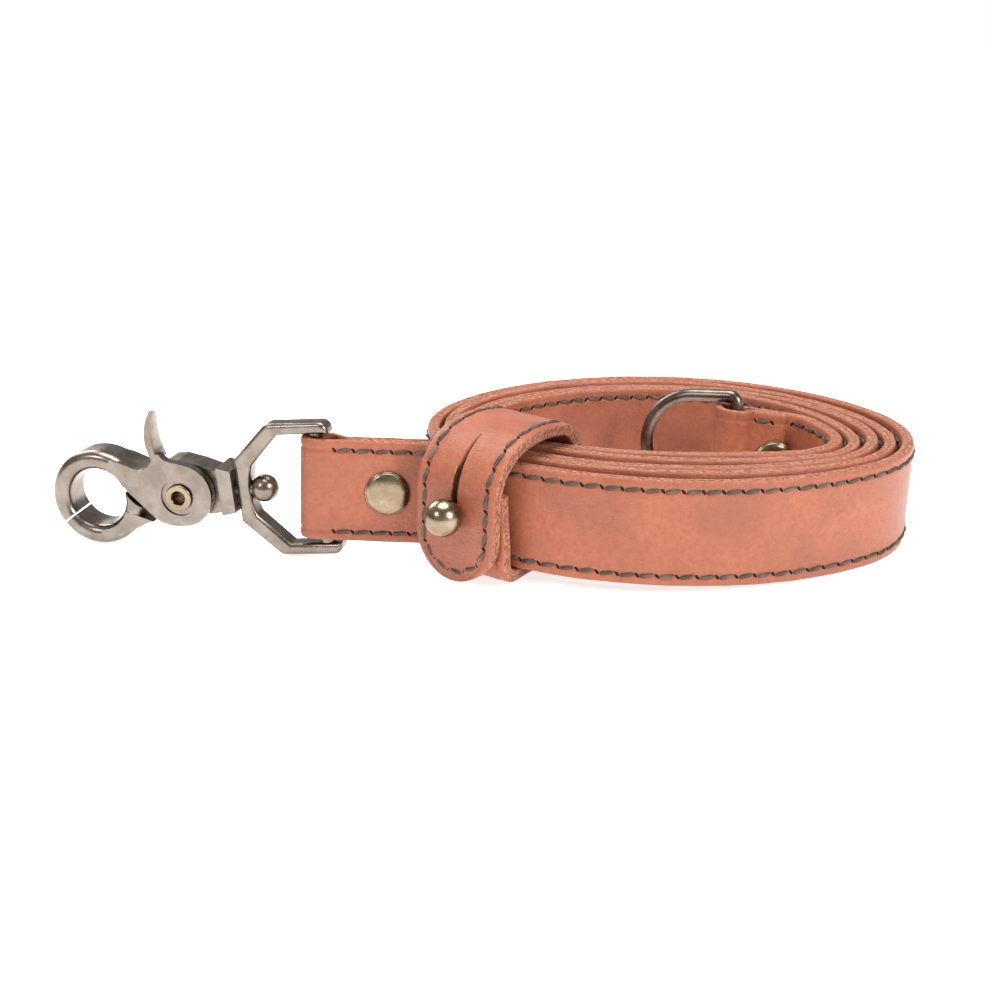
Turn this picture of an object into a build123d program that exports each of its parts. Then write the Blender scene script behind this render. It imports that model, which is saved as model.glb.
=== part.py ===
from build123d import *
from math import acos, atan, atan2, cos, degrees, hypot, radians, sin, sqrt
import os

# A saxophone neck strap, rolled up and standing on the edge of its leather.
# Lengths are in millimetres and angles in degrees. The strap is drawn in plan on a plane that
# leans a little, because the coil rests on its keeper at one side and on its own edge at the other.

# ---- leather ----
STRAP_WIDTH = 20.0
PLY = 1.25                      # thickness of one ply of the strap
STITCH_INSET = 1.9              # middle of a stitch row, in from the cut edge
THREAD_WIDE = 0.8
THREAD_PROUD = 0.3

# ---- the coil in plan: middle line of the two plies, on its first turn and its step per turn ----
TURNS = 5
NEAR_V, NEAR_STEP = -28.25, 4.1
RIGHT_U, RIGHT_STEP = 81.35, 3.7
FAR_V, FAR_STEP = 46.95, 3.5
LEFT_U, LEFT_STEP = -12.75, 3.2
NEAR_U = 31.0
FAR_U = 38.0
RIGHT_V, RIGHT_V_STEP = 9.0, -1.2
LEFT_V, LEFT_V_STEP = 2.0, 0.6
END_ROUND = 0.8                 # radius of the round ends, as a share of the half width there
LEFT_ROUND = 0.55
STEPS = 24

# ---- the run that leaves the coil through the keeper, to the hook ----
HOOK_V = -10.2
KEEPER_HEADING = 37.0
LEAVING_RADIUS = 58.0
STRAIGHTEN_RADIUS = 10.0

# ---- folded ends ----
BAR_DIAMETER = 3.0
BAR_PLAY = 0.35
HOOK_POCKET_U = -34.6           # middle of the fold that holds the loop's bar
HOOK_SLOT = 2.0                 # straight part of each pocket, which lets its bar lean
RING_SLOT = 1.4
TAIL_BEND = 2.2
TAIL_GAP = 0.05
HOOK_TAIL = 15.2
HOOK_RIVET_FROM_POCKET = 13.8
END_V = 18.2                    # the inner run, which holds the D-ring
END_STRAIGHT_U = 59.6
RING_POCKET_U = 47.3
RING_TAIL = 6.2
RING_RIVET_FROM_POCKET = 9.6
RING_CLIMB = 6.5                # slope of the inner run, which lifts the D-ring off the ground

# ---- cap rivets ----
CAP_DIAMETER = 8.6
CAP_RISE = 1.3
CAP_RIM = 0.4
RIVET_BACK_DIAMETER = 7.6
RIVET_BACK_THICK = 0.7
SLEEVE_OUTER = 3.6
RIVET_PIN = 2.6
FASTENER_FIT = 0.05             # radial clearance of a pin in its hole

# ---- keeper ----
KEEPER_PLY = 1.3
KEEPER_WIDTH = 18.0
KEEPER_CLEAR = 0.5
KEEPER_TRAVEL = 2.0
KEEPER_UNDER = 0.3
KEEPER_OVER = 0.8
FLAP_GAP = 1.0
KEEPER_CORNER = 2.3
KEEPER_TOP_CORNER = 5.0
KEEPER_INSET = 1.9
FLAP_TIP_LIFT = 0.5
SLIT_WIDE = 0.9
SLIT_TOP = 25.0
STUD_HEIGHT = 10.6
STUD_BALL = 7.0
STUD_NECK = 4.0
STUD_FLANGE = 7.4
STUD_SCREW = 2.6
SCREW_HEAD = 6.4
SCREW_HEAD_THICK = 0.9

# ---- swivel loop ----
LOOP_YAW = 13.0
LOOP_PITCH = 5.5
LOOP_ROUND = 0.85
LOOP_END = 19.8
HUB_INNER_HALF = 5.0
LOOP_SAG = 0.2
LOOP_LENGTH = 16.65             # left face of the hub to the middle of the bar
LOOP_INNER_HALF = 10.9
LOOP_STOCK = 2.3
LOOP_DEPTH = 4.2
HUB_THICK = 2.6
HUB_HALF = 6.2
SHOULDER = 7.4
SWIVEL_PIN = 3.0
SWIVEL_FIT = 0.05
SWIVEL_BALL = 5.4
SWIVEL_GAP = 0.3

# ---- trigger snap, measured from the hub's left face along the swivel axis ----
RING_X, RING_Y = -29.0, -0.3
RING_HOLE = 13.1
RING_FACE_OUTER = 17.6
RING_BULGE = 0.7
JAW_ROUND = 1.6
SNAP_FRONT = 4.0
SNAP_BACK = -4.0
PLATE_THICK = 2.0
PLATE_GAP = 0.3
PIVOT_X, PIVOT_Y = -11.4, -0.4
DISC_RADIUS = 6.3
PIVOT_SHANK = 4.0
PIVOT_RIM = 5.3
PIVOT_BORE = 2.8
PIVOT_RIM_PROUD = 0.5
PIVOT_FIT = 0.05
PIVOT_RECESS = 7.4
PIVOT_SUNK = 0.4
JAW_JOINT = 213.0
JAW_GAP = 0.35
UPPER_JAW_END = 20.0
LOWER_JAW_END = 8.0
SLOT_WIDE = 0.9
ARM_REACH = 7.6
PADDLE_X = -14.6
PADDLE_THICK = 1.3
PADDLE_TIP = 17.2
LEAF_BACK = -0.5
LEAF_TAPER = 9.4
WALL_LEFT, WALL_RIGHT = -3.1, -0.3
WALL_LOW, WALL_HIGH = -4.4, 5.2
SPRING_WIRE = 0.6
SPRING_RADIUS = 2.9
SPRING_TURNS = 2
SPRING_ROOM = 3.9
SPRING_DEEP = 2.4

# ---- D-ring ----
RING_YAW = 25.0
RING_INNER_HALF = 10.8
RING_STOCK = 2.6
RING_DEPTH = 18.2
RING_ROUND = 10.7
RING_CORNER = 1.7
RING_SIT = 0.3
RING_TIP = 3.5

# ---- how the coil stands ----
CENTRE_X, CENTRE_Y = 1.87, -9.48   # the coil's plan origin, from the middle of the whole object
LEAN_TOWARDS = 20.0             # the low side of the coil, from +X towards +Y
KEEPER_DROP = KEEPER_UNDER + 2 * KEEPER_PLY


# ==== paths: chains of straight runs and turns ====
def line(length):
    return ("line", length, 0.0)


def turn(radius, angle):
    """A circular arc; a positive angle turns left."""
    return ("turn", radius, angle)


def walk(chain, start, heading):
    """Follow a chain from a point and give each run its ends, headings, middle and radius."""
    runs = []
    point = Vector(*start)
    for kind, size, angle in chain:
        ahead = Vector(cos(radians(heading)), sin(radians(heading)))
        left = Vector(-ahead.Y, ahead.X)
        if kind == "line":
            end, middle = point + ahead * size, None
        else:
            middle = point + left * (size if angle > 0 else -size)
            end = middle + (point - middle).rotate(Axis.Z, angle)
        runs.append((kind, point, end, heading, heading + angle, middle))
        point, heading = end, heading + angle
    return runs


def beside(point, heading, offset):
    """A point moved to the left of the travel by an offset."""
    return point + Vector(-sin(radians(heading)), cos(radians(heading))) * offset


def draw_beside(runs, offset):
    """Draw a path's parallel at an offset to the left."""
    for kind, start, end, before, after, middle in runs:
        first, last = beside(start, before, offset), beside(end, after, offset)
        if kind == "line":
            Line(first, last)
        else:
            halfway = middle + (start - middle).rotate(Axis.Z, (after - before) / 2)
            ThreePointArc(first, beside(halfway, (before + after) / 2, offset), last)


def band(runs, low, high):
    """The face between two parallels of a path."""
    with BuildSketch() as profile:
        with BuildLine():
            draw_beside(runs, low)
            draw_beside(runs, high)
            for point, heading in ((runs[0][1], runs[0][3]), (runs[-1][2], runs[-1][4])):
                Line(beside(point, heading, low), beside(point, heading, high))
        make_face()
    return profile.sketch


def places_beside(runs, offset):
    """Points a short way apart along a path's parallel."""
    places = []
    for kind, start, end, before, after, middle in runs:
        for step in range(STEPS + 1):
            heading = before + (after - before) * step / STEPS
            place = start + (end - start) * (step / STEPS)
            if kind == "turn":
                place = middle + (start - middle).rotate(Axis.Z, heading - before)
            places.append(beside(place, heading, offset))
    return places


def quarter(forward, side, small, small_first):
    """Two tangent arcs that turn left through a right angle, one of them of a given small radius."""
    if small_first:
        large = ((side - small) ** 2 + forward**2 - small**2) / (2 * (forward - small))
        share = degrees(atan2(large - forward, side - small))
        return [turn(small, share), turn(large, 90 - share)]
    large = ((forward - small) ** 2 + side**2 - small**2) / (2 * (side - small))
    share = degrees(atan2(forward - small, large - side))
    return [turn(large, share), turn(small, 90 - share)]


# ==== the strap in plan ====
def near(k):
    return NEAR_V + NEAR_STEP * k


def right(k):
    return RIGHT_U - RIGHT_STEP * k


def far(k):
    return FAR_V - FAR_STEP * k


def left(k):
    return LEFT_U + LEFT_STEP * k


def right_v(k):
    return RIGHT_V + RIGHT_V_STEP * k


def left_v(k):
    return LEFT_V + LEFT_V_STEP * k


leave = radians(KEEPER_HEADING)
straight_rise = (
    HOOK_V - NEAR_V - (LEAVING_RADIUS + STRAIGHTEN_RADIUS) * (1 - cos(leave))
)
keeper_straight = straight_rise / sin(leave)
keeper_u = NEAR_U - LEAVING_RADIUS * sin(leave)
keeper_v = NEAR_V + LEAVING_RADIUS * (1 - cos(leave))
hook_bend_u = keeper_u - keeper_straight * cos(leave) - STRAIGHTEN_RADIUS * sin(leave)

leaving = [
    turn(STRAIGHTEN_RADIUS, -KEEPER_HEADING),
    line(keeper_straight),
    turn(LEAVING_RADIUS, KEEPER_HEADING),
]
coil = []
for k in range(TURNS):
    side = right_v(k) - near(k)
    coil += quarter(right(k) - NEAR_U, side, END_ROUND * side, False)
    if k < TURNS - 1:
        forward = far(k) - right_v(k)
        coil += quarter(forward, right(k) - FAR_U, END_ROUND * forward, True)
        side = far(k) - left_v(k)
        coil += quarter(FAR_U - left(k), side, END_ROUND * side, False)
        forward = left_v(k) - near(k + 1)
        coil += quarter(forward, NEAR_U - left(k), LEFT_ROUND * forward, True)
last = TURNS - 1
end_side = right(last) - END_STRAIGHT_U
end_turn = quarter(END_V - right_v(last), end_side, LEFT_ROUND * end_side, False)

# The fold round a bar: along the tail, out to the bar's far side and half round it.
pocket_radius = BAR_DIAMETER / 2 + BAR_PLAY
tail_step = 2 * pocket_radius - PLY - TAIL_GAP
tail_angle = degrees(acos(1 - tail_step / (2 * TAIL_BEND)))
fold_out = 2 * TAIL_BEND * sin(radians(tail_angle))


def fold(tail, slot):
    """A ply's run from its free tail round a bar's pocket."""
    return [
        line(tail),
        turn(TAIL_BEND, -tail_angle),
        turn(TAIL_BEND, tail_angle),
        line(slot),
        turn(pocket_radius, 180),
    ]


hook_straight = hook_bend_u - HOOK_POCKET_U
tail_start_u = HOOK_POCKET_U + HOOK_SLOT + fold_out + HOOK_TAIL
tail_start = (tail_start_u, HOOK_V + PLY + TAIL_GAP)
face_chain = fold(HOOK_TAIL, HOOK_SLOT) + [line(hook_straight)] + leaving + coil
face_runs = walk(face_chain, tail_start, 180)
lining_start_u = HOOK_POCKET_U + HOOK_SLOT + fold_out
lining_chain = [line(hook_bend_u - lining_start_u)] + leaving + coil
lining_runs = walk(lining_chain, (lining_start_u, HOOK_V), 0)
thread_runs = walk([line(hook_straight)] + leaving + coil, (HOOK_POCKET_U, HOOK_V), 0)

climb_start = (right(last), right_v(last))
ring_straight = END_STRAIGHT_U - RING_POCKET_U
ring_fold = list(reversed(fold(RING_TAIL, RING_SLOT)))
face_climb = walk(end_turn + [line(ring_straight)] + ring_fold, climb_start, 90)
lining_stop = ring_straight - RING_SLOT - fold_out
lining_climb = walk(end_turn + [line(lining_stop)], climb_start, 90)
thread_climb = walk(end_turn + [line(ring_straight)], climb_start, 90)

strap_length = sum(
    size if kind == "line" else size * radians(abs(angle))
    for kind, size, angle in face_chain + end_turn + [line(ring_straight)] + ring_fold
)
print("strap cut length", round(strap_length, 1))

# ==== planes ====
# The coil's lowest point and the keeper's lowest point both touch the ground.
low_u, low_v = cos(radians(LEAN_TOWARDS)), sin(radians(LEAN_TOWARDS))
low_side_plan = Vector(low_u, low_v)
reach_coil = max(place.dot(low_side_plan) for place in places_beside(face_runs, -PLY))
outward = Vector(-sin(leave), -cos(leave))
along = Vector(cos(leave), -sin(leave))
keeper_middle = Vector(keeper_u, keeper_v)
bundle_depth = max(
    (keeper_middle - place).dot(outward)
    for place in places_beside(lining_runs[-4:-2], PLY + THREAD_PROUD)
    if abs((place - keeper_middle).dot(along)) <= KEEPER_WIDTH / 2 + KEEPER_TRAVEL
)

cavity_front = PLY + THREAD_PROUD + KEEPER_CLEAR
cavity_back = -bundle_depth - KEEPER_CLEAR
print("keeper cavity", round(cavity_front, 2), round(cavity_back, 2))
keeper_low_corner = (
    keeper_middle
    + outward * (cavity_back - KEEPER_PLY + KEEPER_CORNER)
    + along * (KEEPER_WIDTH / 2)
)
reach_keeper = keeper_low_corner.dot(low_side_plan)
lean = degrees(atan(KEEPER_DROP / (reach_coil - reach_keeper)))
stand_height = reach_coil * sin(radians(lean))
low_side = Vector(low_u, low_v, 0) * cos(radians(lean)) - Vector(0, 0, sin(radians(lean)))
upright = Vector(low_u, low_v, 0) * sin(radians(lean)) + Vector(0, 0, cos(radians(lean)))
level_side = upright.cross(low_side)
strap_plane = Plane(
    (CENTRE_X, CENTRE_Y, stand_height), x_dir=low_side * low_u - level_side * low_v, z_dir=upright
)
print("lean", round(lean, 2), "stands at", round(stand_height, 2))


def on_strap(u, v, w):
    """A point given along, across and up the strap's plane."""
    return strap_plane.from_local_coords(Vector(u, v, w))


def strap_direction(u, v, w):
    return on_strap(u, v, w) - on_strap(0, 0, 0)


side_plane = Plane(on_strap(0, 0, 0), x_dir=strap_plane.x_dir, z_dir=-strap_plane.y_dir)
climb_rate = sin(radians(RING_CLIMB)) / cos(radians(RING_CLIMB))
climb_from = right(last) - PLY - THREAD_PROUD


def climb(u):
    """How far the inner run has risen at a place along the strap's plane."""
    return climb_rate * max(0.0, climb_from - u)


# ==== solids along the strap ====
def sloped_run(runs, low, high, bottom, top):
    """A band of the inner run, whose edges climb towards the D-ring."""
    reach = 40.0
    profile = band(runs, low, high)
    with BuildPart() as piece:
        with BuildSketch(strap_plane.offset(bottom)):
            add(profile)
        extrude(amount=top - bottom + climb_rate * reach)
        with BuildSketch(side_plane):
            with BuildLine():
                Polyline(
                    (climb_from - reach, bottom + climb_rate * reach),
                    (climb_from, bottom),
                    (climb_from + reach, bottom),
                    (climb_from + reach, top),
                    (climb_from, top),
                    (climb_from - reach, top + climb_rate * reach),
                    close=True,
                )
            make_face()
        extrude(amount=2 * reach, both=True, mode=Mode.INTERSECT)
    return piece.part


def strap_band(runs, climbing, low, high, bottom, top):
    """A band along the whole strap, level round the coil and climbing at its inner end."""
    end = sloped_run(climbing, low, high, bottom, top)
    profile = band(runs, low, high)
    with BuildPart() as piece:
        with BuildSketch(strap_plane.offset(bottom)):
            add(profile)
        extrude(amount=top - bottom)
        add(end)
    return piece.part


hook_rivet_u = HOOK_POCKET_U + HOOK_RIVET_FROM_POCKET
ring_rivet_u = RING_POCKET_U + RING_RIVET_FROM_POCKET
ring_rivet_w = STRAP_WIDTH / 2 + climb(ring_rivet_u)
hook_rivet_plane = Plane(
    on_strap(hook_rivet_u, HOOK_V - PLY, STRAP_WIDTH / 2),
    x_dir=strap_plane.x_dir,
    z_dir=-strap_plane.y_dir,
)
ring_rivet_plane = Plane(
    on_strap(ring_rivet_u, END_V - 2 * PLY - TAIL_GAP, ring_rivet_w),
    x_dir=strap_plane.x_dir,
    z_dir=-strap_plane.y_dir,
)
stack = 3 * PLY + TAIL_GAP


with BuildPart() as rivet_bores:
    for rivet_plane in (hook_rivet_plane, ring_rivet_plane):
        with BuildSketch(rivet_plane.offset(1)):
            Circle(SLEEVE_OUTER / 2 + FASTENER_FIT)
        extrude(amount=-(stack + 2))

with BuildPart() as strap_face_ply:
    add(strap_band(face_runs, face_climb, -PLY, 0, 0, STRAP_WIDTH))
    add(rivet_bores.part, mode=Mode.SUBTRACT)

with BuildPart() as strap_lining_ply:
    add(strap_band(lining_runs, lining_climb, 0, PLY, 0, STRAP_WIDTH))
    add(rivet_bores.part, mode=Mode.SUBTRACT)


def thread_row(middle):
    """Both faces' thread of one stitch row, at a height on the strap."""
    bottom, top = middle - THREAD_WIDE / 2, middle + THREAD_WIDE / 2
    outer = strap_band(thread_runs, thread_climb, -PLY - THREAD_PROUD, -PLY, bottom, top)
    inner = strap_band(lining_runs, lining_climb, PLY, PLY + THREAD_PROUD, bottom, top)
    with BuildPart() as rows:
        add(outer)
        add(inner)
        # The tails cover the lining's thread.
        for tail_u, tail_v, length in (
            (lining_start_u, HOOK_V + PLY, HOOK_TAIL),
            (ring_rivet_u - RING_TAIL, END_V - PLY, 2 * RING_TAIL + fold_out),
        ):
            with BuildSketch(strap_plane.offset(-STRAP_WIDTH)):
                with Locations((tail_u + length / 2, tail_v)):
                    Rectangle(length + 2, 2 * THREAD_PROUD + 2 * TAIL_GAP)
            extrude(amount=3 * STRAP_WIDTH, mode=Mode.SUBTRACT)
    return rows.part


with BuildPart() as strap_upper_stitching:
    add(thread_row(STRAP_WIDTH - STITCH_INSET))

with BuildPart() as strap_lower_stitching:
    add(thread_row(STITCH_INSET))


# ==== cap rivets ====
def rivet_cap(plane):
    """A low dome with a sleeve that goes into the leather."""
    cap, rim = CAP_DIAMETER / 2, CAP_RIM + (CAP_RISE - CAP_RIM) * 0.68
    sleeve, bore = SLEEVE_OUTER / 2, RIVET_PIN / 2 + FASTENER_FIT
    with BuildPart() as piece:
        with BuildSketch(Plane(plane.origin, x_dir=plane.x_dir, z_dir=-plane.y_dir)):
            with BuildLine():
                ThreePointArc((0, CAP_RISE), (cap * 0.6, rim), (cap, CAP_RIM))
                Polyline(
                    (cap, CAP_RIM),
                    (cap, 0),
                    (sleeve, 0),
                    (sleeve, -stack / 2),
                    (bore, -stack / 2),
                    (bore, 0.1),
                    (0, 0.1),
                    (0, CAP_RISE),
                )
            make_face()
        revolve(axis=Axis(plane.origin, plane.z_dir))
    return piece.part


def rivet_post(plane):
    """The pin and its flat back."""
    with BuildPart() as post:
        with BuildSketch(plane.offset(-stack)):
            Circle(RIVET_BACK_DIAMETER / 2)
        extrude(amount=-RIVET_BACK_THICK)
        chamfer(post.edges().filter_by(GeomType.CIRCLE).sort_by(Axis(plane.origin, plane.z_dir))[0], 0.25)
        with BuildSketch(plane.offset(-stack)):
            Circle(RIVET_PIN / 2)
        extrude(amount=stack)
    return post.part


with BuildPart() as hook_rivet_cap:
    add(rivet_cap(hook_rivet_plane))

with BuildPart() as hook_rivet_post:
    add(rivet_post(hook_rivet_plane))

with BuildPart() as ring_rivet_cap:
    add(rivet_cap(ring_rivet_plane))

with BuildPart() as ring_rivet_post:
    add(rivet_post(ring_rivet_plane))


# ==== keeper ====
keeper_plane = Plane(
    on_strap(keeper_u, keeper_v, 0),
    x_dir=strap_direction(outward.X, outward.Y, 0),
    z_dir=strap_direction(-along.X, -along.Y, 0),
)
under = -KEEPER_UNDER - KEEPER_PLY
over = STRAP_WIDTH + KEEPER_OVER + KEEPER_PLY
front_layer = cavity_front + KEEPER_PLY
flap_layer = front_layer + 2 * KEEPER_PLY + FLAP_GAP
back_layer = cavity_back - KEEPER_PLY
stud_end = over - KEEPER_TOP_CORNER - 2 * KEEPER_PLY
flap_tip = -KEEPER_DROP + FLAP_TIP_LIFT
keeper_chain = [
    line(stud_end - under - KEEPER_CORNER),
    turn(KEEPER_CORNER, -90),
    line(front_layer - back_layer - 2 * KEEPER_CORNER),
    turn(KEEPER_CORNER, -90),
    line(over - under - 2 * KEEPER_CORNER),
    turn(KEEPER_CORNER, -90),
    line(flap_layer - back_layer - KEEPER_CORNER - KEEPER_TOP_CORNER),
    turn(KEEPER_TOP_CORNER, -90),
    line(over - KEEPER_TOP_CORNER - flap_tip),
]
keeper_runs = walk(keeper_chain, (front_layer, stud_end), -90)
keeper_length = sum(
    size if kind == "line" else size * radians(abs(angle)) for kind, size, angle in keeper_chain
)
print("keeper cut length", round(keeper_length, 1))
flap_plane = Plane(
    keeper_plane.from_local_coords(Vector(flap_layer, 0, 0)),
    x_dir=strap_direction(along.X, along.Y, 0),
    z_dir=keeper_plane.x_dir,
)
stud_plane = Plane(
    keeper_plane.from_local_coords(Vector(front_layer + KEEPER_PLY, STUD_HEIGHT, 0)),
    x_dir=flap_plane.x_dir,
    z_dir=flap_plane.z_dir,
)
tip_radius = KEEPER_WIDTH / 2


def keeper_ply(low, high):
    """One ply of the keeper strip, with its round tip, slit and screw hole."""
    profile = band(keeper_runs, low, high)
    with BuildPart() as ply:
        with BuildSketch(keeper_plane):
            add(profile)
        extrude(amount=KEEPER_WIDTH / 2, both=True)
        through = KEEPER_PLY + FLAP_GAP / 2
        with BuildSketch(flap_plane.offset(-through)):
            with Locations((0, flap_tip)):
                Rectangle(2 * KEEPER_WIDTH, 2 * tip_radius)
            with Locations((0, flap_tip + tip_radius)):
                Circle(tip_radius, mode=Mode.SUBTRACT)
                Rectangle(2 * KEEPER_WIDTH, 0.01, align=(Align.CENTER, Align.MIN), mode=Mode.SUBTRACT)
        extrude(amount=2 * through, mode=Mode.SUBTRACT)
        with BuildSketch(flap_plane.offset(-through)):
            with Locations((0, STUD_HEIGHT)):
                Circle(STUD_NECK / 2 + 2 * FASTENER_FIT)
            with Locations((0, (STUD_HEIGHT + SLIT_TOP) / 2)):
                Rectangle(SLIT_WIDE, SLIT_TOP - STUD_HEIGHT)
        extrude(amount=2 * through, mode=Mode.SUBTRACT)
        with BuildSketch(stud_plane.offset(FLAP_GAP / 4)):
            Circle(STUD_SCREW / 2 + FASTENER_FIT)
        extrude(amount=-(2 * KEEPER_PLY + FLAP_GAP / 2), mode=Mode.SUBTRACT)
        with BuildSketch(stud_plane.offset(-2 * KEEPER_PLY - FLAP_GAP / 4)):
            Circle(SCREW_HEAD / 2 + FASTENER_FIT)
        extrude(amount=SCREW_HEAD_THICK + FLAP_GAP / 4, mode=Mode.SUBTRACT)
    return ply.part


with BuildPart() as keeper_face_ply:
    add(keeper_ply(0, KEEPER_PLY))

with BuildPart() as keeper_lining_ply:
    add(keeper_ply(-KEEPER_PLY, 0))

row_aside = KEEPER_WIDTH / 2 - KEEPER_INSET
keeper_thread = band(keeper_runs[4:8], KEEPER_PLY, KEEPER_PLY + THREAD_PROUD)
with BuildPart() as keeper_stitching:
    for row_middle in (row_aside, -row_aside):
        with BuildSketch(keeper_plane.offset(row_middle - THREAD_WIDE / 2)):
            add(keeper_thread)
        extrude(amount=THREAD_WIDE)
    with BuildSketch(flap_plane.offset(KEEPER_PLY)):
        with Locations((0, flap_tip + tip_radius)):
            Circle(row_aside + THREAD_WIDE / 2)
            Circle(row_aside - THREAD_WIDE / 2, mode=Mode.SUBTRACT)
            Rectangle(4 * tip_radius, 2 * tip_radius, align=(Align.CENTER, Align.MIN), mode=Mode.SUBTRACT)
        for row_middle in (row_aside, -row_aside):
            row_length = over - KEEPER_TOP_CORNER - flap_tip - tip_radius
            with Locations((row_middle, flap_tip + tip_radius + row_length / 2)):
                Rectangle(THREAD_WIDE, row_length)
    extrude(amount=THREAD_PROUD)

with BuildPart() as keeper_stud:
    neck_top = FLAP_GAP + 2 * KEEPER_PLY + THREAD_PROUD
    ball_middle = neck_top + sqrt((STUD_BALL / 2) ** 2 - (STUD_NECK / 2) ** 2)
    with BuildSketch(stud_plane):
        Circle(STUD_FLANGE / 2)
    extrude(amount=FLAP_GAP - TAIL_GAP)
    with BuildSketch(stud_plane):
        Circle(STUD_NECK / 2)
    extrude(amount=ball_middle)
    with Locations(stud_plane.offset(ball_middle)):
        Sphere(STUD_BALL / 2)
    with BuildSketch(stud_plane):
        Circle(STUD_SCREW / 2 + FASTENER_FIT)
    extrude(amount=neck_top, mode=Mode.SUBTRACT)

with BuildPart() as keeper_stud_screw:
    with BuildSketch(stud_plane.offset(-2 * KEEPER_PLY)):
        Circle(SCREW_HEAD / 2)
    extrude(amount=SCREW_HEAD_THICK)
    with BuildSketch(stud_plane.offset(-2 * KEEPER_PLY + SCREW_HEAD_THICK)):
        Circle(STUD_SCREW / 2)
    extrude(amount=2 * KEEPER_PLY - SCREW_HEAD_THICK + neck_top - FASTENER_FIT)
    with BuildSketch(stud_plane.offset(-2 * KEEPER_PLY)):
        Rectangle(SCREW_HEAD, 0.9)
    extrude(amount=0.5, mode=Mode.SUBTRACT)

# ==== swivel loop ====
yaw, pitch = radians(LOOP_YAW), radians(LOOP_PITCH)
axis_right = Vector(cos(yaw) * cos(pitch), -sin(yaw) * cos(pitch), sin(pitch))
facing = Vector(-sin(yaw), -cos(yaw), 0)
bar_middle = on_strap(
    HOOK_POCKET_U + HOOK_SLOT / 2, HOOK_V + pocket_radius, STRAP_WIDTH / 2 - LOOP_SAG
)
hub_point = bar_middle - axis_right * LOOP_LENGTH
hook_plane = Plane(hub_point, x_dir=axis_right, z_dir=facing)
cross_plane = Plane(hub_point, x_dir=hook_plane.y_dir, z_dir=axis_right)
loop_outer = LOOP_INNER_HALF + LOOP_STOCK
window_near = HUB_THICK + 1
window_full = window_near + LOOP_INNER_HALF - HUB_INNER_HALF

with BuildPart() as loop_blank:
    with BuildSketch():
        with BuildLine():
            Polyline(
                (0, -HUB_HALF),
                (0, HUB_HALF),
                (SHOULDER, loop_outer),
                (LOOP_END, loop_outer),
                (LOOP_END, -loop_outer),
                (SHOULDER, -loop_outer),
                close=True,
            )
        make_face()
        fillet(vertices().group_by(Axis.X)[1], LOOP_STOCK)
        with BuildLine():
            Polyline(
                (window_near, HUB_INNER_HALF),
                (window_full, LOOP_INNER_HALF),
                (LOOP_END + 1, LOOP_INNER_HALF),
                (LOOP_END + 1, -LOOP_INNER_HALF),
                (window_full, -LOOP_INNER_HALF),
                (window_near, -HUB_INNER_HALF),
            )
            ThreePointArc((window_near, -HUB_INNER_HALF), (HUB_THICK, 0), (window_near, HUB_INNER_HALF))
        make_face(mode=Mode.SUBTRACT)
        end_corners = [
            corner
            for corner in vertices().group_by(Axis.X)[-1]
            if abs(corner.Y) > LOOP_INNER_HALF + LOOP_STOCK / 2
        ]
        fillet(end_corners, LOOP_STOCK * 0.75)
    extrude(amount=LOOP_DEPTH / 2, both=True)
    fillet(loop_blank.faces().filter_by(Plane.XY).edges(), LOOP_ROUND)

with BuildPart() as swivel_loop:
    add(hook_plane.location * loop_blank.part)
    with BuildSketch(Plane(bar_middle, z_dir=hook_plane.y_dir)):
        Circle(BAR_DIAMETER / 2)
    extrude(amount=LOOP_INNER_HALF + LOOP_STOCK / 2, both=True)
    with BuildSketch(cross_plane):
        Circle(SWIVEL_PIN / 2 + SWIVEL_FIT)
    extrude(amount=HUB_THICK + 1, mode=Mode.SUBTRACT)

with BuildPart() as swivel_post:
    with BuildSketch(cross_plane.offset(WALL_LEFT + 0.6)):
        Circle(SWIVEL_PIN / 2)
    extrude(amount=HUB_THICK + SWIVEL_GAP - WALL_LEFT)
    with Locations(cross_plane.offset(HUB_THICK + SWIVEL_GAP + SWIVEL_BALL * 0.4)):
        Sphere(SWIVEL_BALL / 2)
    split(bisect_by=cross_plane.offset(WALL_LEFT + 0.6))
    with BuildSketch(cross_plane.offset(HUB_THICK + SWIVEL_GAP)):
        Circle(SWIVEL_BALL)
        Circle(SWIVEL_PIN / 2, mode=Mode.SUBTRACT)
    extrude(amount=-1.5, mode=Mode.SUBTRACT)

# ==== trigger snap ====
snap_deep = SNAP_FRONT - SNAP_BACK
ring_middle = hook_plane.from_local_coords(Vector(RING_X, RING_Y, 0))
ring_axis = Axis(ring_middle, facing)
hole = RING_HOLE / 2
face_outer = RING_FACE_OUTER / 2
plate_back = SNAP_FRONT - PLATE_THICK
web_front = plate_back - PLATE_GAP


def polar(radius, angle, middle=(0, 0)):
    return (middle[0] + radius * cos(radians(angle)), middle[1] + radius * sin(radians(angle)))


RING_AT = (RING_X, RING_Y)
PIVOT_AT = (PIVOT_X, PIVOT_Y)

with BuildPart() as jaw_ring:
    with BuildSketch(Plane(ring_middle, x_dir=hook_plane.x_dir, z_dir=-hook_plane.y_dir)):
        with Locations(((hole + face_outer) / 2, (SNAP_FRONT + SNAP_BACK) / 2)):
            RectangleRounded(face_outer - hole + 2 * RING_BULGE, snap_deep, JAW_ROUND)
    revolve(axis=ring_axis)

slot_edge = [(-16.8, -4.6), (-21.9, 1.0)]
slot_normal = Vector(-0.739, -0.673)


def shifted(point, amount):
    return (point[0] + slot_normal.X * amount, point[1] + slot_normal.Y * amount)


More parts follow.
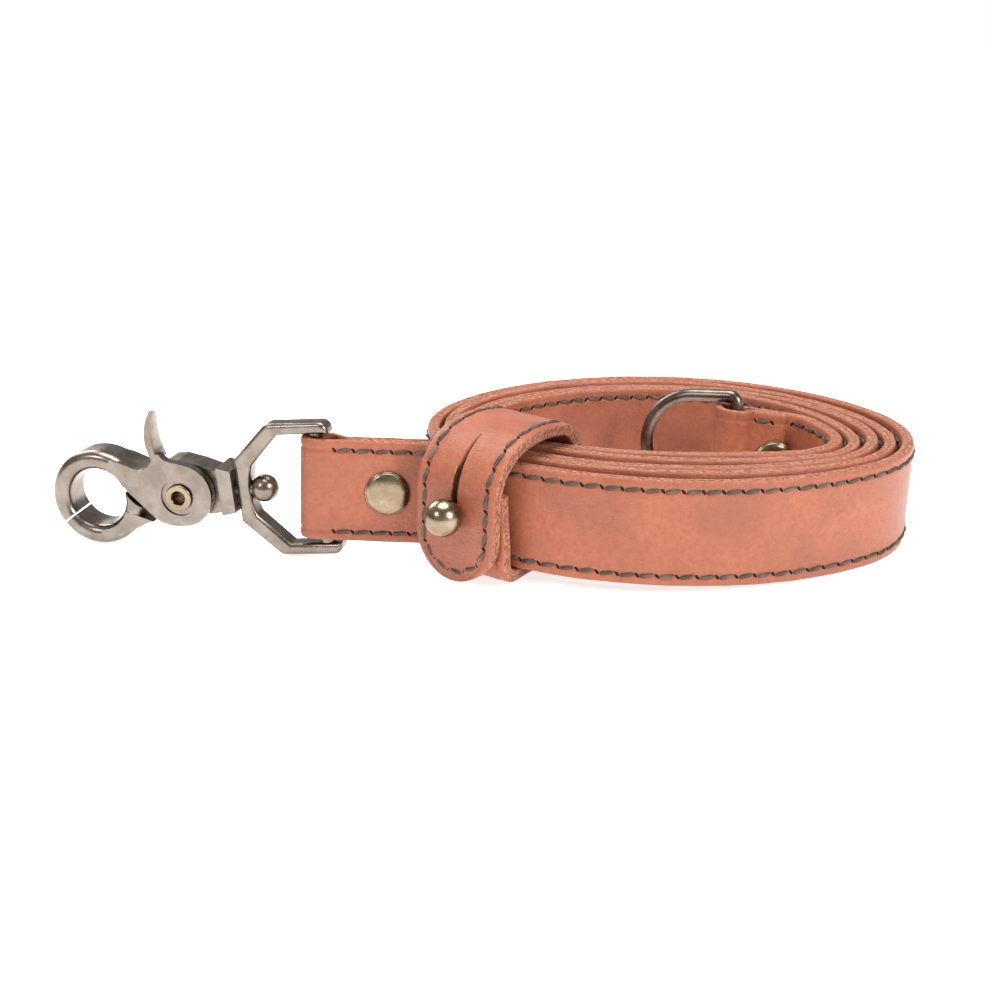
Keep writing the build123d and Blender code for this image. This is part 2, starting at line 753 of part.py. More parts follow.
FAR = 16.0
with BuildPart() as snap_body:
    add(jaw_ring.part)
    # The moving jaw's share of the ring is left out.
    with BuildSketch(hook_plane.offset(SNAP_BACK - 1)):
        with BuildLine():
            Polyline(
                RING_AT,
                polar(FAR, LOWER_JAW_END, RING_AT),
                polar(FAR, 60, RING_AT),
                polar(FAR, 110, RING_AT),
                polar(FAR, 160, RING_AT),
                polar(FAR, JAW_JOINT, RING_AT),
                close=True,
            )
        make_face()
    extrude(amount=snap_deep + 2, mode=Mode.SUBTRACT)
    # Web behind the lever, down to the lower jaw.
    with BuildSketch(hook_plane.offset(SNAP_BACK)):
        with BuildLine():
            Polyline(
                polar(hole - 0.2, LOWER_JAW_END, RING_AT),
                polar(ARM_REACH - 0.4, 174, PIVOT_AT),
                polar(ARM_REACH - 0.4, 150, PIVOT_AT),
                polar(ARM_REACH - 0.4, 124, PIVOT_AT),
                (-13.8, 6.5),
                (-11.4, 6.5),
                (-8.0, 5.5),
                (-4.5, 4.1),
                (WALL_RIGHT, 3.9),
                (WALL_RIGHT, -4.0),
                (-7.0, -4.6),
                (-11.4, -6.0),
                (-15.2, -5.6),
                (-18.6, -5.4),
                (-24.7, -8.1),
                polar(face_outer, 270, RING_AT),
                polar(hole, 270, RING_AT),
            )
            ThreePointArc(
                polar(hole, 270, RING_AT),
                polar(hole - 0.2, 320, RING_AT),
                polar(hole - 0.2, LOWER_JAW_END, RING_AT),
            )
        make_face()
    extrude(amount=web_front - SNAP_BACK)
    with BuildSketch(hook_plane.offset(web_front)):
        with BuildLine():
            Polyline(
                polar(hole, 335, RING_AT),
                shifted(slot_edge[0], SLOT_WIDE),
                (-18.6, -5.4),
                (-24.7, -8.1),
                polar(face_outer, 270, RING_AT),
                polar(hole, 270, RING_AT),
            )
            ThreePointArc(
                polar(hole, 270, RING_AT), polar(hole, 300, RING_AT), polar(hole, 335, RING_AT)
            )
        make_face()
    extrude(amount=SNAP_FRONT - web_front)
    # Room in front for the lever's plate and the slot along its edge.
    with BuildSketch(hook_plane.offset(web_front)):
        with BuildLine():
            Polyline(
                shifted(slot_edge[0], SLOT_WIDE),
                (slot_edge[0][0] + 1.5, slot_edge[0][1] - 1.5),
                (-6.0, -8.0),
                (WALL_LEFT, 0),
                (-6.0, 12.0),
                (-26.0, 10.0),
                shifted((slot_edge[1][0] - 2.0, slot_edge[1][1] + 2.2), SLOT_WIDE),
                close=True,
            )
        make_face()
    extrude(amount=snap_deep, mode=Mode.SUBTRACT)
    # End wall that carries the swivel.
    with BuildSketch(hook_plane.offset(SNAP_BACK)):
        with BuildLine():
            Polyline(
                (WALL_LEFT, WALL_LOW),
                (WALL_RIGHT, WALL_LOW + 0.5),
                (WALL_RIGHT, WALL_HIGH - 0.8),
                (WALL_LEFT, WALL_HIGH),
                close=True,
            )
        make_face()
    extrude(amount=snap_deep - 0.5)
    with BuildSketch(cross_plane.offset(WALL_RIGHT + 0.1)):
        Circle(SWIVEL_PIN / 2)
    extrude(amount=WALL_LEFT + 0.6 - WALL_RIGHT - 0.1, mode=Mode.SUBTRACT)
    # Spring room and the pivot's hole.
    with BuildSketch(hook_plane.offset(web_front + 0.1)):
        with Locations(PIVOT_AT):
            Circle(SPRING_ROOM)
    extrude(amount=-SPRING_DEEP - 0.1, mode=Mode.SUBTRACT)
    with BuildSketch(hook_plane.offset(SNAP_BACK - 1)):
        with Locations(PIVOT_AT):
            Circle(PIVOT_SHANK / 2 + FASTENER_FIT)
    extrude(amount=snap_deep + 2, mode=Mode.SUBTRACT)

with BuildPart() as trigger:
    add(jaw_ring.part)
    with BuildSketch(hook_plane.offset(SNAP_BACK - 1)):
        with BuildLine():
            Polyline(
                RING_AT,
                polar(FAR, JAW_JOINT, RING_AT),
                polar(FAR, 250, RING_AT),
                polar(FAR, 300, RING_AT),
                polar(FAR, UPPER_JAW_END, RING_AT),
                close=True,
            )
        make_face()
        # The two jaws part along the joint.
    extrude(amount=snap_deep + 2, mode=Mode.SUBTRACT)
    with BuildSketch(hook_plane.offset(SNAP_BACK - 1)):
        with Locations(Location(polar(face_outer, JAW_JOINT, RING_AT) + (0,), JAW_JOINT)):
            Rectangle(4 * hole, 2 * JAW_GAP)
    extrude(amount=snap_deep + 2, mode=Mode.SUBTRACT)
    # Full-depth arm from the jaw towards the lever.
    with BuildSketch(hook_plane.offset(SNAP_BACK)):
        with BuildLine():
            l1 = Polyline(
                polar(hole, UPPER_JAW_END, RING_AT),
                polar(ARM_REACH, 166, PIVOT_AT),
            )
            l2 = ThreePointArc(
                polar(ARM_REACH, 166, PIVOT_AT),
                polar(ARM_REACH, 140, PIVOT_AT),
                polar(ARM_REACH, 124, PIVOT_AT),
            )
            l3 = Spline(
                polar(ARM_REACH, 124, PIVOT_AT),
                (-19.2, 5.3),
                (-22.2, 6.6),
                polar(face_outer, 62, RING_AT),
            )
            l4 = Line(polar(face_outer, 62, RING_AT), polar(hole, 62, RING_AT))
            l5 = ThreePointArc(
                polar(hole, 62, RING_AT),
                polar(hole, 42, RING_AT),
                polar(hole, UPPER_JAW_END, RING_AT),
            )
        make_face()
    extrude(amount=snap_deep)
    # Front plate over the pivot.
    with BuildSketch(hook_plane.offset(plate_back)):
        with BuildLine():
            Line(slot_edge[0], slot_edge[1])
            Line(slot_edge[1], polar(hole, 32, RING_AT))
            Line(polar(hole, 32, RING_AT), polar(face_outer, 50, RING_AT))
            Spline(polar(face_outer, 50, RING_AT), (-20.6, 5.9), (-19.2, 5.3), (-16.8, 6.1), (PADDLE_X - 0.9, 8.4))
            Line((PADDLE_X - 0.9, 8.4), (PADDLE_X + 0.4, 8.4))
            Spline((PADDLE_X + 0.4, 8.4), (-12.9, 7.0), (-10.7, 6.4), (-7.5, 5.2), (-5.4, 3.0))
            ThreePointArc((-5.4, 3.0), (-5.2, -2.6), (-11.0, -6.2))
            ThreePointArc((-11.0, -6.2), (-14.2, -5.9), slot_edge[0])
        make_face()
    extrude(amount=PLATE_THICK)
    # Thumb lever: a thin leaf across the depth that tapers to its tip.
    with BuildSketch(hook_plane.offset(LEAF_BACK)):
        with BuildLine():
            ThreePointArc((PADDLE_X, 7.3), (PADDLE_X - 0.5, 13.5), (PADDLE_X + 0.9, PADDLE_TIP))
            Line((PADDLE_X + 0.9, PADDLE_TIP), (PADDLE_X + 0.9 - PADDLE_THICK * 0.7, PADDLE_TIP))
            ThreePointArc(
                (PADDLE_X + 0.9 - PADDLE_THICK * 0.7, PADDLE_TIP),
                (PADDLE_X - 0.5 - PADDLE_THICK, 13.5),
                (PADDLE_X - PADDLE_THICK, 7.3),
            )
            Line((PADDLE_X - PADDLE_THICK, 7.3), (PADDLE_X, 7.3))
        make_face()
    extrude(amount=SNAP_FRONT - LEAF_BACK)
    leaf_plane = Plane(hub_point, x_dir=facing, z_dir=-axis_right)
    leaf_deep = SNAP_FRONT - LEAF_BACK
    with BuildSketch(leaf_plane.offset(-PADDLE_X - 3.0)):
        with Locations((SNAP_FRONT, PADDLE_TIP)):
            Rectangle(4 * leaf_deep, 2 * LEAF_TAPER)
        with Locations((SNAP_FRONT, PADDLE_TIP - LEAF_TAPER)):
            Ellipse(leaf_deep, LEAF_TAPER, mode=Mode.SUBTRACT)
    extrude(amount=6, mode=Mode.SUBTRACT)
    # Bearing hole and the shallow recess round the pivot's rim.
    with BuildSketch(hook_plane.offset(plate_back - 1)):
        with Locations(PIVOT_AT):
            Circle(PIVOT_SHANK / 2 + PIVOT_FIT)
    extrude(amount=PLATE_THICK + 2, mode=Mode.SUBTRACT)
    with BuildSketch(hook_plane.offset(SNAP_FRONT + 0.1)):
        with Locations(PIVOT_AT):
            Circle(PIVOT_RECESS / 2)
    extrude(amount=-PIVOT_SUNK - 0.1, mode=Mode.SUBTRACT)

with BuildPart() as trigger_pivot:
    with BuildSketch(hook_plane.offset(SNAP_BACK)):
        with Locations(PIVOT_AT):
            Circle(PIVOT_SHANK / 2)
    extrude(amount=snap_deep - PIVOT_SUNK + PLATE_GAP)
    with BuildSketch(hook_plane.offset(SNAP_FRONT - PIVOT_SUNK + PLATE_GAP)):
        with Locations(PIVOT_AT):
            Circle(PIVOT_RIM / 2)
    extrude(amount=PIVOT_RIM_PROUD)
    with BuildSketch(hook_plane.offset(SNAP_BACK)):
        with Locations(PIVOT_AT):
            Circle(PIVOT_RIM / 2)
    extrude(amount=-PIVOT_RIM_PROUD)
    rim_edges = trigger_pivot.edges().filter_by(GeomType.CIRCLE).sort_by(Axis(hub_point, facing))
    fillet([rim_edges[0], rim_edges[-1]], 0.3)
    with BuildSketch(hook_plane.offset(SNAP_BACK - 1)):
        with Locations(PIVOT_AT):
            Circle(PIVOT_BORE / 2)
    extrude(amount=snap_deep + 3, mode=Mode.SUBTRACT)

with BuildPart() as trigger_spring:
    spring_plane = Plane(
        hook_plane.from_local_coords(Vector(PIVOT_X, PIVOT_Y, web_front - SPRING_DEEP + 0.5)),
        x_dir=hook_plane.x_dir,
        z_dir=facing,
    )
    with BuildLine():
        coil_line = Helix(
            pitch=SPRING_WIRE + 0.1,
            height=SPRING_TURNS * (SPRING_WIRE + 0.1),
            radius=SPRING_RADIUS,
            center=spring_plane.origin,
            direction=facing,
        )
    with BuildSketch(Plane(coil_line @ 0, z_dir=coil_line % 0)):
        Circle(SPRING_WIRE / 2)
    sweep(path=coil_line)

# ==== D-ring ====
ring_yaw, ring_tip = radians(RING_YAW), radians(RING_TIP)
ring_up = strap_direction(sin(ring_tip), 0, cos(ring_tip))
ring_level = strap_direction(-cos(ring_yaw), sin(ring_yaw), 0)
ring_out = (ring_level - ring_up * ring_level.dot(ring_up)).normalized()
ring_bar_u = RING_POCKET_U + RING_SLOT / 2
ring_bar = on_strap(ring_bar_u, END_V - pocket_radius, STRAP_WIDTH / 2 + climb(ring_bar_u) + RING_SIT)
d_plane = Plane(ring_bar, x_dir=ring_out, z_dir=ring_out.cross(ring_up))
bar_half = RING_INNER_HALF + RING_STOCK / 2
round_middle = RING_DEPTH - RING_ROUND
tangent_turn = degrees(acos(RING_ROUND / hypot(round_middle, bar_half)))
tangent_at = degrees(atan2(bar_half, -round_middle)) - tangent_turn
meet = polar(RING_ROUND, tangent_at, (round_middle, 0))

with BuildPart() as d_ring:
    with BuildLine(d_plane):
        FilletPolyline(
            (meet[0], meet[1]),
            (0, bar_half),
            (0, -bar_half),
            (meet[0], -meet[1]),
            radius=RING_CORNER,
        )
        ThreePointArc((meet[0], -meet[1]), (RING_DEPTH, 0), meet)
    ring_wire = d_ring.pending_edges_as_wire
    with BuildSketch(Plane(ring_wire @ 0, z_dir=ring_wire % 0)):
        Circle(RING_STOCK / 2)
    sweep(path=ring_wire)

# ==== files ====
os.makedirs("parts", exist_ok=True)
pieces = {
    "strap_face_ply": strap_face_ply,
    "strap_lining_ply": strap_lining_ply,
    "strap_upper_stitching": strap_upper_stitching,
    "strap_lower_stitching": strap_lower_stitching,
    "keeper_face_ply": keeper_face_ply,
    "keeper_lining_ply": keeper_lining_ply,
    "keeper_stitching": keeper_stitching,
    "keeper_stud": keeper_stud,
    "keeper_stud_screw": keeper_stud_screw,
    "hook_rivet_cap": hook_rivet_cap,
    "hook_rivet_post": hook_rivet_post,
    "ring_rivet_cap": ring_rivet_cap,
    "ring_rivet_post": ring_rivet_post,
    "d_ring": d_ring,
    "swivel_loop": swivel_loop,
    "swivel_post": swivel_post,
    "snap_body": snap_body,
    "trigger": trigger,
    "trigger_pivot": trigger_pivot,
    "trigger_spring": trigger_spring,
}
low = Vector(1e9, 1e9, 1e9)
high = -low
for label, piece in pieces.items():
    piece.part.label = label
    box = piece.part.bounding_box()
    low = Vector(min(low.X, box.min.X), min(low.Y, box.min.Y), min(low.Z, box.min.Z))
    high = Vector(max(high.X, box.max.X), max(high.Y, box.max.Y), max(high.Z, box.max.Z))
    print(label, len(piece.part.solids()), round(piece.part.volume, 1), box.min, box.max)
    export_step(piece.part, "parts/" + label + ".step")
print("box", low, high)
print("hub", hub_point, "bar", bar_middle, "ring", ring_middle, "pivot", hook_plane.from_local_coords(Vector(PIVOT_X, PIVOT_Y, 0)))
print("axis", axis_right, "facing", facing, "up", hook_plane.y_dir)
print("d bar", ring_bar, "d up", d_plane.y_dir, "d out", ring_out)
print("keeper at", on_strap(keeper_u, keeper_v, STRAP_WIDTH / 2), "along", strap_direction(along.X, along.Y, 0))
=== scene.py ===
# %% [markdown]
# # A rolled leather neck strap with a trigger snap
# The strap is two plies of leather sewn back to back, rolled into a coil that stands on its edge.
# This notebook loads the measured model as a fixed frame, then makes the leather, the thread, the
# rivet caps and the stud from formulas: the leather is a profile carried along the coil's path, every
# stitch is its own short length of thread, and the caps and the stud are turned metal. The rings
# and the snap keep their measured shape.

import math

import bpy
import numpy as np
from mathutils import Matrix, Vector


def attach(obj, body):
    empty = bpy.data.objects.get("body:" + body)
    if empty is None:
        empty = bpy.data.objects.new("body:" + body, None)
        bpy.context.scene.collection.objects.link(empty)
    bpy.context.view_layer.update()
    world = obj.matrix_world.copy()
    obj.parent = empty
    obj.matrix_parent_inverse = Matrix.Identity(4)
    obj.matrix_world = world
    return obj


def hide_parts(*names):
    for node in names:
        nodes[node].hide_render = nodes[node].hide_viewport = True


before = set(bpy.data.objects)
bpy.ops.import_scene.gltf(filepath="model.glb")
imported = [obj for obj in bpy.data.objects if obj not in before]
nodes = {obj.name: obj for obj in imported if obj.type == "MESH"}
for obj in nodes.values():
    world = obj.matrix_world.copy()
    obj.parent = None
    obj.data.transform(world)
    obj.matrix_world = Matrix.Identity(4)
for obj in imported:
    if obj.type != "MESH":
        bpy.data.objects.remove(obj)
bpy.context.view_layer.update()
MM = 0.001

# %% [markdown]
# ## The path of the strap
# A strap rolled by hand lies in turns that are nearly ovals. An oval could be a freehand curve,
# but then the gap between turns would wander. Here each quarter turn is two circular arcs that
# meet smoothly, so that a parallel of the path, such as the face of the leather, is exact too.

# %% Sizes of the leather, in millimetres
WIDTH, PLY = 20.0, 1.25
INSET, PITCH = 1.9, 3.6
NEAR, NEAR_STEP = -28.25, 4.1
RIGHT, RIGHT_STEP = 81.35, 3.7
FAR, FAR_STEP = 46.95, 3.5
LEFT, LEFT_STEP = -12.75, 3.2
NEAR_U, FAR_U = 31.0, 38.0
RIGHT_V, RIGHT_V_STEP = 9.0, -1.2
LEFT_V, LEFT_V_STEP = 2.0, 0.6
HOOK_V, END_V = -10.2, 18.2
HOOK_POCKET, RING_POCKET, END_STRAIGHT = -34.6, 47.3, 59.6
HEADING = 37.0
TURNS, END_ROUND, LEFT_ROUND = 5, 0.8, 0.55
LEAVING_RADIUS, STRAIGHTEN_RADIUS = 58.0, 10.0
POCKET, TAIL_BEND, TAIL_GAP = 1.85, 2.2, 0.05
CLIMB = math.tan(math.radians(6.5))
CLIMB_FROM = RIGHT - (TURNS - 1) * RIGHT_STEP - PLY - 0.3
KEEPER_PLY, KEEPER_WIDTH = 1.3, 18.0


# %% Chains of straight runs and turns
def line(length):
    return (length, 0.0)


def turn(radius, angle):
    """An arc of a radius; a positive angle turns left."""
    return (radius, math.radians(angle))


def quarter(forward, side, small, small_first):
    """Two arcs that meet smoothly and turn left through a right angle between them."""
    if small_first:
        large = ((side - small) ** 2 + forward**2 - small**2) / (2 * (forward - small))
        share = math.degrees(math.atan2(large - forward, side - small))
        return [turn(small, share), turn(large, 90 - share)]
    large = ((forward - small) ** 2 + side**2 - small**2) / (2 * (side - small))
    share = math.degrees(math.atan2(forward - small, large - side))
    return [turn(large, share), turn(small, 90 - share)]


def trace(chain, start, heading, step=1.0):
    """Points, headings and distances a step apart. On an arc the heading grows evenly with the
    distance, and the point is the centre plus the radius, turned to stand across the heading."""
    points, headings = [np.array([start], float)], [np.array([math.radians(heading)])]
    distances = [np.array([0.0])]
    for size, angle in chain:
        here, facing = points[-1][-1], headings[-1][-1]
        length = size * abs(angle) if angle else size
        share = np.linspace(0, 1, max(2, math.ceil(length / step) + 1))[1:]
        if angle:
            side = math.copysign(size, angle)
            centre = here + side * np.array([-math.sin(facing), math.cos(facing)])
            towards = facing + angle * share
            spot = centre + side * np.stack([np.sin(towards), -np.cos(towards)], 1)
        else:
            towards = np.full(len(share), facing)
            spot = here + np.outer(share * size, [math.cos(facing), math.sin(facing)])
        points.append(spot)
        headings.append(towards)
        distances.append(distances[-1][-1] + length * share)
    return np.concatenate(points), np.concatenate(headings), np.concatenate(distances)


# %% The coil, the run through the keeper, and the two folded ends
leave = math.radians(HEADING)
both_bends = (LEAVING_RADIUS + STRAIGHTEN_RADIUS) * (1 - math.cos(leave))
keeper_straight = (HOOK_V - NEAR - both_bends) / math.sin(leave)
keeper_u = NEAR_U - LEAVING_RADIUS * math.sin(leave)
keeper_uv = np.array([keeper_u, NEAR + LEAVING_RADIUS * (1 - math.cos(leave))])
hook_bend = keeper_u - keeper_straight * math.cos(leave) - STRAIGHTEN_RADIUS * math.sin(leave)
leaving = [turn(STRAIGHTEN_RADIUS, -HEADING), line(keeper_straight), turn(LEAVING_RADIUS, HEADING)]
coil = []
for k in range(TURNS):
    right_v, left_v = RIGHT_V + k * RIGHT_V_STEP, LEFT_V + k * LEFT_V_STEP
    near, right = NEAR + k * NEAR_STEP, RIGHT - k * RIGHT_STEP
    far, left = FAR - k * FAR_STEP, LEFT + k * LEFT_STEP
    coil += quarter(right - NEAR_U, right_v - near, END_ROUND * (right_v - near), False)
    if k < TURNS - 1:
        coil += quarter(far - right_v, right - FAR_U, END_ROUND * (far - right_v), True)
        coil += quarter(FAR_U - left, far - left_v, END_ROUND * (far - left_v), False)
        reach = left_v - near - NEAR_STEP
        coil += quarter(reach, NEAR_U - left, LEFT_ROUND * reach, True)
end_side = right - END_STRAIGHT
coil += quarter(END_V - right_v, end_side, LEFT_ROUND * end_side, False)
tail_angle = math.degrees(math.acos(1 - (2 * POCKET - PLY - TAIL_GAP) / (2 * TAIL_BEND)))
fold_out = 2 * TAIL_BEND * math.sin(math.radians(tail_angle))


def fold(tail, slot):
    """From a free tail, out round a bar and back to the strap's own line."""
    bends = [turn(TAIL_BEND, -tail_angle), turn(TAIL_BEND, tail_angle)]
    return [line(tail)] + bends + [line(slot), turn(POCKET, 180)]


HOOK_SLOT, RING_SLOT, HOOK_TAIL, RING_TAIL = 2.0, 1.4, 15.2, 6.2
PATH_STEP = 0.8
hook_run, ring_run = hook_bend - HOOK_POCKET, END_STRAIGHT - RING_POCKET
lining_from = HOOK_POCKET + HOOK_SLOT + fold_out
lining_to = ring_run - RING_SLOT - fold_out
face_chain = fold(HOOK_TAIL, HOOK_SLOT) + [line(hook_run)] + leaving + coil + [line(ring_run)]
face_chain += list(reversed(fold(RING_TAIL, RING_SLOT)))
face_path = trace(face_chain, (lining_from + HOOK_TAIL, HOOK_V + PLY + TAIL_GAP), 180, PATH_STEP)
lining_chain = [line(hook_bend - lining_from)] + leaving + coil + [line(lining_to)]
lining_path = trace(lining_chain, (lining_from, HOOK_V), 0, PATH_STEP)
hook_fold = trace(fold(HOOK_TAIL, HOOK_SLOT), (0, 0), 0)[2][-1]
ring_fold = trace(fold(RING_TAIL, RING_SLOT), (0, 0), 0)[2][-1]
strap_length = face_path[2][-1]
print("strap length", round(strap_length, 1), "mm, keeper at", keeper_uv.round(2))

# %% [markdown]
# ## The plane the coil stands on
# The coil rests on its keeper at one side and on its own edge at the other, so its plane leans by
# about two degrees. The lean follows from the two points that touch the ground.

# %% The leaning plane, and a function that puts a plan point into the room
outward = np.array([-math.sin(leave), -math.cos(leave)])
along = np.array([math.cos(leave), -math.sin(leave)])
LOW_SIDE = math.radians(20)
LOW = np.array([math.cos(LOW_SIDE), math.sin(LOW_SIDE)])
CAVITY_FRONT, CAVITY_BACK, KEEPER_CORNER = 2.05, -19.05, 2.3
CAVITY_UNDER = 0.3


def left_of(heading):
    return np.stack([-np.sin(heading), np.cos(heading)], -1)


low_corner = keeper_uv + outward * (CAVITY_BACK - KEEPER_PLY + KEEPER_CORNER) + along * KEEPER_WIDTH / 2
reach = ((face_path[0] - PLY * left_of(face_path[1])) @ LOW).max()
tilt = math.atan((CAVITY_UNDER + 2 * KEEPER_PLY) / (reach - low_corner @ LOW))
low_side = np.append(LOW * math.cos(tilt), -math.sin(tilt))
upright = np.append(LOW * math.sin(tilt), math.cos(tilt))
u_way = low_side * LOW[0] - np.cross(upright, low_side) * LOW[1]
v_way = np.cross(upright, u_way)
ORIGIN = np.array([1.87, -9.48, reach * math.sin(tilt)])


def room(u, v, w):
    """A place in the room, in metres, from one along, across and up the leaning plane."""
    measures = ((u, u_way), (v, v_way), (w, upright))
    steps = (np.asarray(measure, float)[..., None] * way for measure, way in measures)
    return (ORIGIN + sum(steps)) * MM


print("lean", round(math.degrees(tilt), 2), "degrees, low edge", round(ORIGIN[2], 2), "mm up")

# %% [markdown]
# ## Surfaces from grids
# Any of these surfaces is a grid of points: rows along something and columns around it. Blender
# could make them with curve bevels, but a grid keeps every row where the formula puts it, and it
# can carry its own flat coordinates and marks, such as which part is a cut edge.


# %% One function that turns grids into a mesh
def skin(name, grid, uv=None, marks=None):
    """Smooth tubes of quads through grids shaped (count, rows, columns, 3), with flat ends.
    If the enclosed volume comes out negative, every face is turned over."""
    grid = np.asarray(grid)
    grid = grid if grid.ndim == 4 else grid[None]
    count, rows, columns = grid.shape[:3]
    index = np.arange(count * rows * columns).reshape(count, rows, columns)
    ahead = np.roll(index, -1, 2)
    quads = np.stack([index[:, :-1], index[:, 1:], ahead[:, 1:], ahead[:, :-1]], -1).reshape(-1, 4)
    points = grid.reshape(-1, 3)
    a, b, c, d = (points[quads[:, k]] for k in range(4))
    volume = np.einsum("ij,ij->", a, np.cross(b, c) + np.cross(c, d))
    faces = quads.tolist() + index[:, 0].tolist() + index[:, -1, ::-1].tolist()
    if volume < 0:
        faces = [face[::-1] for face in faces]
    mesh = bpy.data.meshes.new(name)
    mesh.from_pydata(points.tolist(), [], faces)
    corners = np.empty(len(mesh.loops), int)
    mesh.loops.foreach_get("vertex_index", corners)
    if uv is not None:
        flat = mesh.uv_layers.new(name="flat")
        flat.data.foreach_set("uv", np.asarray(uv).reshape(-1, 2)[corners].ravel())
    for mark, values in (marks or {}).items():
        mesh.attributes.new(mark, "FLOAT", "POINT").data.foreach_set("value", np.asarray(values).ravel())
    mesh.polygons.foreach_set("use_smooth", np.ones(len(mesh.polygons), bool))
    mesh.update()
    piece = bpy.data.objects.new(name, mesh)
    bpy.context.scene.collection.objects.link(piece)
    print(name, len(points), "points", len(faces), "faces")
    return piece


# %% [markdown]
# ## The leather
# A ply has a rounded grain side, a cut edge at each side and a flat side that is glued. The seam
# rows press a shallow groove into the grain. The ply could be a flat strip bent by modifiers, but
# five close turns leave no room for error, so its profile is carried along the traced path.


# %% The profile of one ply
EDGE_FALL = 0.1


def ply_profile(width, thick, inset, slit=False):
    """Depth below the grain and place across the width, all the way round one ply.
    Each groove is a bell curve of depth round its row, and the edges fall away in another."""
    grain, glued = 0.45, 0.16
    row = np.linspace(-0.8, 0.8, 9) + inset
    centre = np.linspace(inset + 1.3, width / 2 - 1.0, 5)
    half = np.concatenate([[grain + 0.05, (grain + row[0]) / 2], row, centre])
    middle = width / 2 + np.array([-0.6, -0.42, -0.3, 0.3, 0.42, 0.6]) if slit else [width / 2]
    across = np.concatenate([half, middle, width - half[::-1]])
    edge_near = np.minimum(across, width - across)
    groove = 0.2 * np.exp(-(((edge_near - inset) / 0.4) ** 2))
    depth = groove + EDGE_FALL * np.exp(-((edge_near / 1.1) ** 2))
    turned = np.radians(np.linspace(0, 90, 6))
    round_depth = grain * (1 - np.cos(turned)) + EDGE_FALL
    round_across = width - grain * (1 - np.sin(turned))
    wall_depth = np.linspace(grain + 0.25, thick - glued - 0.08, 4)
    wall_across = np.full(4, width)
    back = np.radians(np.linspace(0, 90, 4))
    back_depth = thick - glued * (1 - np.sin(back))
    back_across = width - glued * (1 - np.cos(back))
    side_depth = np.concatenate([round_depth, wall_depth, back_depth])
    side_across = np.concatenate([round_across, wall_across, back_across])
    inner = np.linspace(width - 2, 2, 5)
    depths = np.concatenate([depth, side_depth, np.full(5, thick), side_depth[::-1]])
    places = np.concatenate([across, side_across, inner, width - side_across[::-1]])
    side_edge = np.concatenate([[0, 0, 0, 0.35, 0.75, 1], np.ones(4), np.ones(4)])
    edges = np.concatenate([np.zeros(len(across)), side_edge, np.ones(5), side_edge[::-1]])
    return depths, places, edges


def smooth_noise(rng, count, reach):
    """Random numbers averaged over a reach of neighbours, scaled to about one."""
    bell = np.hanning(2 * reach + 3)
    noise = np.convolve(rng.standard_normal(count + len(bell)), bell / np.sqrt((bell**2).sum()), "same")
    return noise[:count]


# %% Height along the coil
END_HEADING = math.radians(1620)
SLID, SLIDES, RAGGED = 0.45, 7, 0.035


def raised(point, heading, first_heading):
    """How far a place has risen: each turn slid a little up, and the inner end climbs."""
    facing = heading - first_heading
    share = np.clip(facing / END_HEADING, 0, 1)
    slid = SLID * np.sin(SLIDES * math.pi * share) ** 2
    late = facing > END_HEADING - math.pi / 2
    return slid + np.where(late, CLIMB * np.maximum(0, CLIMB_FROM - point[..., 0]), 0)


def strap_ply(name, path, first_heading, grain_at, inward, shift, seed):
    """A ply's profile carried along its path, with a fine raggedness along the cut edges."""
    points, headings, distances = path
    depths, places, edges = ply_profile(WIDTH, PLY, INSET)
    rng = np.random.default_rng(seed)
    ragged = np.stack([smooth_noise(rng, len(points), 3) for _ in range(2)], 1) * RAGGED
    offset = grain_at + inward * depths
    plan = points[:, None] + left_of(headings)[:, None] * offset[None, :, None]
    rise = raised(points, headings, first_heading)[:, None]
    upper = (places > WIDTH / 2)[None]
    wobble = np.where(upper, ragged[:, :1], ragged[:, 1:]) * edges[None]
    height = places[None] + rise + wobble
    flat = np.stack(np.broadcast_arrays((distances[:, None] + shift) * MM, places[None] * MM), -1)
    marks = {"edge": np.broadcast_to(edges, height.shape)}
    return skin(name, room(plan[..., 0], plan[..., 1], height), flat, marks)


face_ply = strap_ply("strap_face_leather", face_path, math.tau, -PLY, 1, -hook_fold, 1)
lining_ply = strap_ply("strap_lining_leather", lining_path, 0, PLY, -1, lining_from - HOOK_POCKET, 2)

# %% [markdown]
# ## The keeper
# The keeper is a short strip of the same make, wrapped round the bundle and buttoned on a stud.
# Its round tip needs rows that shrink to nothing: each row's half width is that of a circle.

# %% The keeper's path and plies
UNDER, OVER = -CAVITY_UNDER - KEEPER_PLY, WIDTH + 1.6 + KEEPER_PLY
TOP_CORNER, BACK_CORNER, FRONT_CORNER = 9.0, 6.0, 4.2
FLAP_GAP, STUD_HEIGHT, FLAP_SLIP = 1.0, 10.6, 1.2
BELLY, BELLY_REACH, BELLY_ASIDE = 1.0, 7.5, 1.9
ARCH, ARCH_REACH, ARCH_ASIDE = 1.3, 8.0, 0.3
front_layer, back_layer = CAVITY_FRONT + KEEPER_PLY, CAVITY_BACK - KEEPER_PLY
flap_layer = front_layer + 2 * KEEPER_PLY + FLAP_GAP
stud_end = 14.5
flap_tip = -2.4
keeper_chain = [
    line(stud_end - UNDER - FRONT_CORNER),
    turn(FRONT_CORNER, -90),
    line(front_layer - back_layer - FRONT_CORNER - KEEPER_CORNER),
    turn(KEEPER_CORNER, -90),
    line(OVER - UNDER - KEEPER_CORNER - BACK_CORNER),
    turn(BACK_CORNER, -90),
    line(flap_layer - back_layer - BACK_CORNER - TOP_CORNER),
    turn(TOP_CORNER, -90),
    line(OVER - TOP_CORNER - flap_tip),
]
keeper_path = trace(keeper_chain, (front_layer, stud_end), -90, 0.3)
keeper_length = keeper_path[2][-1]
flap_length = OVER - TOP_CORNER - flap_tip
UNDER_FLAP = stud_end - UNDER - FRONT_CORNER
